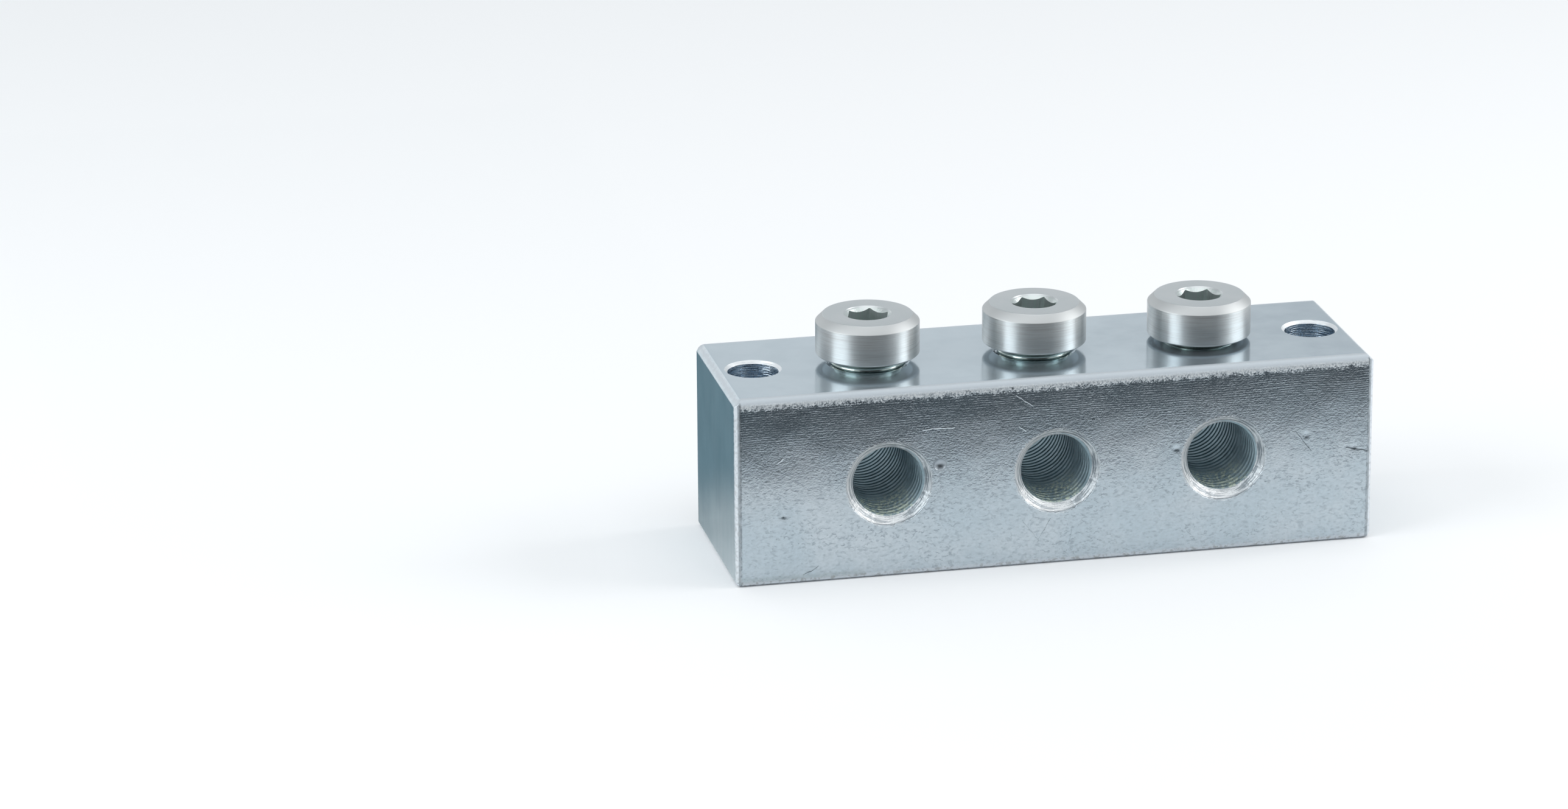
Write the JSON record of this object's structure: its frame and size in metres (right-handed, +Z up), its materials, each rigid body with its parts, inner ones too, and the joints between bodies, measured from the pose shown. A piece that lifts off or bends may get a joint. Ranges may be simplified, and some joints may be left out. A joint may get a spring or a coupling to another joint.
{
  "type": "grease nipple block",
  "caption": "Square zinc-plated bar with tapped cross ports, a closing plug with a hexagon socket screwed in above each port, and screw holes near its ends.",
  "frame": {"origin": "middle of the block's underside", "axes": "+X along the bar, +Z up through the plugs, -Y out of the ports' front mouths"},
  "size_m": [0.084, 0.025, 0.0314],
  "materials": {
    "zinc_plate": "bright zinc with a pale blue passivation on drawn bar skin",
    "turned_steel": "fine turned and zinc plated, satin"
  },
  "bodies": {
    "root": {"block": "zinc_plate", "plug_left": "turned_steel", "plug_middle": "turned_steel", "plug_right": "turned_steel"}
  },
  "joints": []
}
